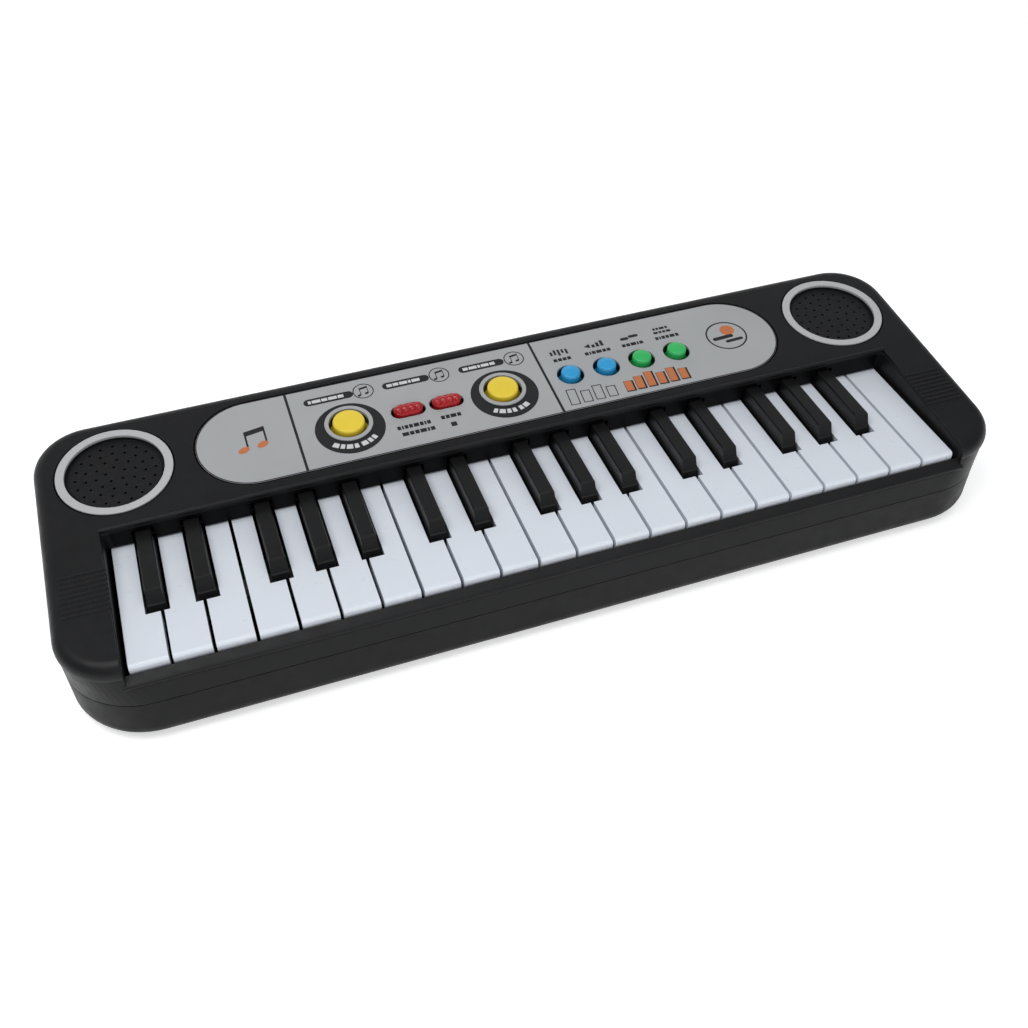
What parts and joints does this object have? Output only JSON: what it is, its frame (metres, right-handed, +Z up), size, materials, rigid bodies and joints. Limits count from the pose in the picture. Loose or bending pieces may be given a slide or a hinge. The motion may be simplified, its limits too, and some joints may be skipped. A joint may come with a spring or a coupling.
{
  "type": "toy electronic keyboard",
  "caption": "Toy electronic keyboard: black two-part case with hinged white and black keys, silver control panel with push buttons, twin speaker grilles and a sliding battery door.",
  "frame": {"origin": "middle of the overall box, on the plane the feet stand on", "axes": "+X along the keys toward the high notes, +Y from the player to the rear, +Z up"},
  "size_m": [0.412, 0.1378, 0.055],
  "materials": {
    "case_black": "fine textured black moulding, satin",
    "lower_black": "fine textured black moulding, satin",
    "door_black": "fine textured black moulding, satin",
    "panel_silver": "silver-grey painted plastic, satin",
    "ring_silver": "silver painted ring, satin",
    "speaker_cone": "pressed cone and frame, dark",
    "board_green": "printed circuit board",
    "key_board_green": "printed circuit board",
    "dome_rubber": "grey silicone rubber",
    "rod_steel": "drawn steel wire",
    "battery_jacket": "plain coloured battery jackets",
    "contact_plate": "nickel-plated spring steel",
    "screw_steel": "zinc-plated steel",
    "wire_jacket": "soft insulated wire",
    "switch_black": "black moulded knob",
    "yellow_plastic": "yellow moulding, semi-gloss",
    "red_plastic": "red moulding, glossy",
    "blue_plastic": "blue moulding, semi-gloss",
    "green_plastic": "green moulding, semi-gloss",
    "white_plastic": "white moulding, semi-gloss",
    "black_key_plastic": "black moulding, satin gloss"
  },
  "bodies": {
    "case": {"upper_case": "case_black", "lower_case": "lower_black", "control_panel": "panel_silver", "speaker_rings": "ring_silver", "speakers": "speaker_cone", "main_board": "board_green", "key_board": "key_board_green", "rubber_domes": "dome_rubber", "key_pivot_rod": "rod_steel", "batteries": "battery_jacket", "battery_contacts": "contact_plate", "screws": "screw_steel", "wires": "wire_jacket"},
    "white_key_01": {"white_key_01": "white_plastic"},
    "white_key_02": {"white_key_02": "white_plastic"},
    "white_key_03": {"white_key_03": "white_plastic"},
    "white_key_04": {"white_key_04": "white_plastic"},
    "white_key_05": {"white_key_05": "white_plastic"},
    "white_key_06": {"white_key_06": "white_plastic"},
    "white_key_07": {"white_key_07": "white_plastic"},
    "white_key_08": {"white_key_08": "white_plastic"},
    "white_key_09": {"white_key_09": "white_plastic"},
    "white_key_10": {"white_key_10": "white_plastic"},
    "white_key_11": {"white_key_11": "white_plastic"},
    "white_key_12": {"white_key_12": "white_plastic"},
    "white_key_13": {"white_key_13": "white_plastic"},
    "white_key_14": {"white_key_14": "white_plastic"},
    "white_key_15": {"white_key_15": "white_plastic"},
    "white_key_16": {"white_key_16": "white_plastic"},
    "white_key_17": {"white_key_17": "white_plastic"},
    "white_key_18": {"white_key_18": "white_plastic"},
    "white_key_19": {"white_key_19": "white_plastic"},
    "white_key_20": {"white_key_20": "white_plastic"},
    "white_key_21": {"white_key_21": "white_plastic"},
    "white_key_22": {"white_key_22": "white_plastic"},
    "black_key_01": {"black_key_01": "black_key_plastic"},
    "black_key_02": {"black_key_02": "black_key_plastic"},
    "black_key_03": {"black_key_03": "black_key_plastic"},
    "black_key_04": {"black_key_04": "black_key_plastic"},
    "black_key_05": {"black_key_05": "black_key_plastic"},
    "black_key_06": {"black_key_06": "black_key_plastic"},
    "black_key_07": {"black_key_07": "black_key_plastic"},
    "black_key_08": {"black_key_08": "black_key_plastic"},
    "black_key_09": {"black_key_09": "black_key_plastic"},
    "black_key_10": {"black_key_10": "black_key_plastic"},
    "black_key_11": {"black_key_11": "black_key_plastic"},
    "black_key_12": {"black_key_12": "black_key_plastic"},
    "black_key_13": {"black_key_13": "black_key_plastic"},
    "black_key_14": {"black_key_14": "black_key_plastic"},
    "black_key_15": {"black_key_15": "black_key_plastic"},
    "yellow_button_left": {"yellow_button_left": "yellow_plastic"},
    "yellow_button_right": {"yellow_button_right": "yellow_plastic"},
    "red_button_left": {"red_button_left": "red_plastic"},
    "red_button_right": {"red_button_right": "red_plastic"},
    "blue_button_left": {"blue_button_left": "blue_plastic"},
    "blue_button_right": {"blue_button_right": "blue_plastic"},
    "green_button_left": {"green_button_left": "green_plastic"},
    "green_button_right": {"green_button_right": "green_plastic"},
    "battery_door": {"battery_door": "door_black"},
    "power_switch_knob": {"power_switch_knob": "switch_black"}
  },
  "joints": [
    {"name": "white_key_01_press", "type": "hinge", "parent": "case", "child": "white_key_01", "pos_m": [0, 0.0123, 0.033], "axis": [1, 0, 0], "range_deg": [0, 3], "stiffness_Nm_per_rad": 0.5, "springref_deg": -1.72, "deforming": ["rubber_domes"]},
    {"name": "black_key_01_press", "type": "hinge", "parent": "case", "child": "black_key_01", "pos_m": [0, 0.0123, 0.033], "axis": [1, 0, 0], "range_deg": [0, 3], "stiffness_Nm_per_rad": 0.5, "springref_deg": -1.72, "deforming": ["rubber_domes"]},
    {"name": "yellow_button_left_press", "type": "slide", "parent": "case", "child": "yellow_button_left", "axis": [0, 0.0941, -0.9956], "range_m": [0, 0.0012], "stiffness_N_per_m": 800, "springref_m": -0.0006, "deforming": ["rubber_domes"]},
    {"name": "red_button_left_press", "type": "slide", "parent": "case", "child": "red_button_left", "axis": [0, 0.0941, -0.9956], "range_m": [0, 0.0012], "stiffness_N_per_m": 800, "springref_m": -0.0006, "deforming": ["rubber_domes"]},
    {"name": "blue_button_left_press", "type": "slide", "parent": "case", "child": "blue_button_left", "axis": [0, 0.0941, -0.9956], "range_m": [0, 0.0012], "stiffness_N_per_m": 800, "springref_m": -0.0006, "deforming": ["rubber_domes"]},
    {"name": "green_button_left_press", "type": "slide", "parent": "case", "child": "green_button_left", "axis": [0, 0.0941, -0.9956], "range_m": [0, 0.0012], "stiffness_N_per_m": 800, "springref_m": -0.0006, "deforming": ["rubber_domes"]},
    {"name": "battery_door_slide", "type": "slide", "parent": "case", "child": "battery_door", "axis": [0, 1, 0], "range_m": [0, 0.06]},
    {"name": "power_switch_slide", "type": "slide", "parent": "case", "child": "power_switch_knob", "axis": [1, 0, 0], "range_m": [0, 0.004]},
    {"name": "yellow_button_right_press", "type": "slide", "parent": "case", "child": "yellow_button_right", "axis": [0, 0.0941, -0.9956], "range_m": [0, 0.0012], "stiffness_N_per_m": 800, "springref_m": -0.0006, "deforming": ["rubber_domes"]},
    {"name": "red_button_right_press", "type": "slide", "parent": "case", "child": "red_button_right", "axis": [0, 0.0941, -0.9956], "range_m": [0, 0.0012], "stiffness_N_per_m": 800, "springref_m": -0.0006, "deforming": ["rubber_domes"]},
    {"name": "blue_button_right_press", "type": "slide", "parent": "case", "child": "blue_button_right", "axis": [0, 0.0941, -0.9956], "range_m": [0, 0.0012], "stiffness_N_per_m": 800, "springref_m": -0.0006, "deforming": ["rubber_domes"]},
    {"name": "green_button_right_press", "type": "slide", "parent": "case", "child": "green_button_right", "axis": [0, 0.0941, -0.9956], "range_m": [0, 0.0012], "stiffness_N_per_m": 800, "springref_m": -0.0006, "deforming": ["rubber_domes"]},
    {"name": "white_key_02_press", "type": "hinge", "parent": "case", "child": "white_key_02", "pos_m": [0, 0.0123, 0.033], "axis": [1, 0, 0], "range_deg": [0, 3], "stiffness_Nm_per_rad": 0.5, "springref_deg": -1.72, "deforming": ["rubber_domes"]},
    {"name": "white_key_03_press", "type": "hinge", "parent": "case", "child": "white_key_03", "pos_m": [0, 0.0123, 0.033], "axis": [1, 0, 0], "range_deg": [0, 3], "stiffness_Nm_per_rad": 0.5, "springref_deg": -1.72, "deforming": ["rubber_domes"]},
    {"name": "white_key_04_press", "type": "hinge", "parent": "case", "child": "white_key_04", "pos_m": [0, 0.0123, 0.033], "axis": [1, 0, 0], "range_deg": [0, 3], "stiffness_Nm_per_rad": 0.5, "springref_deg": -1.72, "deforming": ["rubber_domes"]},
    {"name": "white_key_05_press", "type": "hinge", "parent": "case", "child": "white_key_05", "pos_m": [0, 0.0123, 0.033], "axis": [1, 0, 0], "range_deg": [0, 3], "stiffness_Nm_per_rad": 0.5, "springref_deg": -1.72, "deforming": ["rubber_domes"]},
    {"name": "white_key_06_press", "type": "hinge", "parent": "case", "child": "white_key_06", "pos_m": [0, 0.0123, 0.033], "axis": [1, 0, 0], "range_deg": [0, 3], "stiffness_Nm_per_rad": 0.5, "springref_deg": -1.72, "deforming": ["rubber_domes"]},
    {"name": "white_key_07_press", "type": "hinge", "parent": "case", "child": "white_key_07", "pos_m": [0, 0.0123, 0.033], "axis": [1, 0, 0], "range_deg": [0, 3], "stiffness_Nm_per_rad": 0.5, "springref_deg": -1.72, "deforming": ["rubber_domes"]},
    {"name": "white_key_08_press", "type": "hinge", "parent": "case", "child": "white_key_08", "pos_m": [0, 0.0123, 0.033], "axis": [1, 0, 0], "range_deg": [0, 3], "stiffness_Nm_per_rad": 0.5, "springref_deg": -1.72, "deforming": ["rubber_domes"]},
    {"name": "white_key_09_press", "type": "hinge", "parent": "case", "child": "white_key_09", "pos_m": [0, 0.0123, 0.033], "axis": [1, 0, 0], "range_deg": [0, 3], "stiffness_Nm_per_rad": 0.5, "springref_deg": -1.72, "deforming": ["rubber_domes"]},
    {"name": "white_key_10_press", "type": "hinge", "parent": "case", "child": "white_key_10", "pos_m": [0, 0.0123, 0.033], "axis": [1, 0, 0], "range_deg": [0, 3], "stiffness_Nm_per_rad": 0.5, "springref_deg": -1.72, "deforming": ["rubber_domes"]},
    {"name": "white_key_11_press", "type": "hinge", "parent": "case", "child": "white_key_11", "pos_m": [0, 0.0123, 0.033], "axis": [1, 0, 0], "range_deg": [0, 3], "stiffness_Nm_per_rad": 0.5, "springref_deg": -1.72, "deforming": ["rubber_domes"]},
    {"name": "white_key_12_press", "type": "hinge", "parent": "case", "child": "white_key_12", "pos_m": [0, 0.0123, 0.033], "axis": [1, 0, 0], "range_deg": [0, 3], "stiffness_Nm_per_rad": 0.5, "springref_deg": -1.72, "deforming": ["rubber_domes"]},
    {"name": "white_key_13_press", "type": "hinge", "parent": "case", "child": "white_key_13", "pos_m": [0, 0.0123, 0.033], "axis": [1, 0, 0], "range_deg": [0, 3], "stiffness_Nm_per_rad": 0.5, "springref_deg": -1.72, "deforming": ["rubber_domes"]},
    {"name": "white_key_14_press", "type": "hinge", "parent": "case", "child": "white_key_14", "pos_m": [0, 0.0123, 0.033], "axis": [1, 0, 0], "range_deg": [0, 3], "stiffness_Nm_per_rad": 0.5, "springref_deg": -1.72, "deforming": ["rubber_domes"]},
    {"name": "white_key_15_press", "type": "hinge", "parent": "case", "child": "white_key_15", "pos_m": [0, 0.0123, 0.033], "axis": [1, 0, 0], "range_deg": [0, 3], "stiffness_Nm_per_rad": 0.5, "springref_deg": -1.72, "deforming": ["rubber_domes"]},
    {"name": "white_key_16_press", "type": "hinge", "parent": "case", "child": "white_key_16", "pos_m": [0, 0.0123, 0.033], "axis": [1, 0, 0], "range_deg": [0, 3], "stiffness_Nm_per_rad": 0.5, "springref_deg": -1.72, "deforming": ["rubber_domes"]},
    {"name": "white_key_17_press", "type": "hinge", "parent": "case", "child": "white_key_17", "pos_m": [0, 0.0123, 0.033], "axis": [1, 0, 0], "range_deg": [0, 3], "stiffness_Nm_per_rad": 0.5, "springref_deg": -1.72, "deforming": ["rubber_domes"]},
    {"name": "white_key_18_press", "type": "hinge", "parent": "case", "child": "white_key_18", "pos_m": [0, 0.0123, 0.033], "axis": [1, 0, 0], "range_deg": [0, 3], "stiffness_Nm_per_rad": 0.5, "springref_deg": -1.72, "deforming": ["rubber_domes"]},
    {"name": "white_key_19_press", "type": "hinge", "parent": "case", "child": "white_key_19", "pos_m": [0, 0.0123, 0.033], "axis": [1, 0, 0], "range_deg": [0, 3], "stiffness_Nm_per_rad": 0.5, "springref_deg": -1.72, "deforming": ["rubber_domes"]},
    {"name": "white_key_20_press", "type": "hinge", "parent": "case", "child": "white_key_20", "pos_m": [0, 0.0123, 0.033], "axis": [1, 0, 0], "range_deg": [0, 3], "stiffness_Nm_per_rad": 0.5, "springref_deg": -1.72, "deforming": ["rubber_domes"]},
    {"name": "white_key_21_press", "type": "hinge", "parent": "case", "child": "white_key_21", "pos_m": [0, 0.0123, 0.033], "axis": [1, 0, 0], "range_deg": [0, 3], "stiffness_Nm_per_rad": 0.5, "springref_deg": -1.72, "deforming": ["rubber_domes"]},
    {"name": "white_key_22_press", "type": "hinge", "parent": "case", "child": "white_key_22", "pos_m": [0, 0.0123, 0.033], "axis": [1, 0, 0], "range_deg": [0, 3], "stiffness_Nm_per_rad": 0.5, "springref_deg": -1.72, "deforming": ["rubber_domes"]},
    {"name": "black_key_02_press", "type": "hinge", "parent": "case", "child": "black_key_02", "pos_m": [0, 0.0123, 0.033], "axis": [1, 0, 0], "range_deg": [0, 3], "stiffness_Nm_per_rad": 0.5, "springref_deg": -1.72, "deforming": ["rubber_domes"]},
    {"name": "black_key_03_press", "type": "hinge", "parent": "case", "child": "black_key_03", "pos_m": [0, 0.0123, 0.033], "axis": [1, 0, 0], "range_deg": [0, 3], "stiffness_Nm_per_rad": 0.5, "springref_deg": -1.72, "deforming": ["rubber_domes"]},
    {"name": "black_key_04_press", "type": "hinge", "parent": "case", "child": "black_key_04", "pos_m": [0, 0.0123, 0.033], "axis": [1, 0, 0], "range_deg": [0, 3], "stiffness_Nm_per_rad": 0.5, "springref_deg": -1.72, "deforming": ["rubber_domes"]},
    {"name": "black_key_05_press", "type": "hinge", "parent": "case", "child": "black_key_05", "pos_m": [0, 0.0123, 0.033], "axis": [1, 0, 0], "range_deg": [0, 3], "stiffness_Nm_per_rad": 0.5, "springref_deg": -1.72, "deforming": ["rubber_domes"]},
    {"name": "black_key_06_press", "type": "hinge", "parent": "case", "child": "black_key_06", "pos_m": [0, 0.0123, 0.033], "axis": [1, 0, 0], "range_deg": [0, 3], "stiffness_Nm_per_rad": 0.5, "springref_deg": -1.72, "deforming": ["rubber_domes"]},
    {"name": "black_key_07_press", "type": "hinge", "parent": "case", "child": "black_key_07", "pos_m": [0, 0.0123, 0.033], "axis": [1, 0, 0], "range_deg": [0, 3], "stiffness_Nm_per_rad": 0.5, "springref_deg": -1.72, "deforming": ["rubber_domes"]},
    {"name": "black_key_08_press", "type": "hinge", "parent": "case", "child": "black_key_08", "pos_m": [0, 0.0123, 0.033], "axis": [1, 0, 0], "range_deg": [0, 3], "stiffness_Nm_per_rad": 0.5, "springref_deg": -1.72, "deforming": ["rubber_domes"]},
    {"name": "black_key_09_press", "type": "hinge", "parent": "case", "child": "black_key_09", "pos_m": [0, 0.0123, 0.033], "axis": [1, 0, 0], "range_deg": [0, 3], "stiffness_Nm_per_rad": 0.5, "springref_deg": -1.72, "deforming": ["rubber_domes"]},
    {"name": "black_key_10_press", "type": "hinge", "parent": "case", "child": "black_key_10", "pos_m": [0, 0.0123, 0.033], "axis": [1, 0, 0], "range_deg": [0, 3], "stiffness_Nm_per_rad": 0.5, "springref_deg": -1.72, "deforming": ["rubber_domes"]},
    {"name": "black_key_11_press", "type": "hinge", "parent": "case", "child": "black_key_11", "pos_m": [0, 0.0123, 0.033], "axis": [1, 0, 0], "range_deg": [0, 3], "stiffness_Nm_per_rad": 0.5, "springref_deg": -1.72, "deforming": ["rubber_domes"]},
    {"name": "black_key_12_press", "type": "hinge", "parent": "case", "child": "black_key_12", "pos_m": [0, 0.0123, 0.033], "axis": [1, 0, 0], "range_deg": [0, 3], "stiffness_Nm_per_rad": 0.5, "springref_deg": -1.72, "deforming": ["rubber_domes"]},
    {"name": "black_key_13_press", "type": "hinge", "parent": "case", "child": "black_key_13", "pos_m": [0, 0.0123, 0.033], "axis": [1, 0, 0], "range_deg": [0, 3], "stiffness_Nm_per_rad": 0.5, "springref_deg": -1.72, "deforming": ["rubber_domes"]},
    {"name": "black_key_14_press", "type": "hinge", "parent": "case", "child": "black_key_14", "pos_m": [0, 0.0123, 0.033], "axis": [1, 0, 0], "range_deg": [0, 3], "stiffness_Nm_per_rad": 0.5, "springref_deg": -1.72, "deforming": ["rubber_domes"]},
    {"name": "black_key_15_press", "type": "hinge", "parent": "case", "child": "black_key_15", "pos_m": [0, 0.0123, 0.033], "axis": [1, 0, 0], "range_deg": [0, 3], "stiffness_Nm_per_rad": 0.5, "springref_deg": -1.72, "deforming": ["rubber_domes"]}
  ]
}
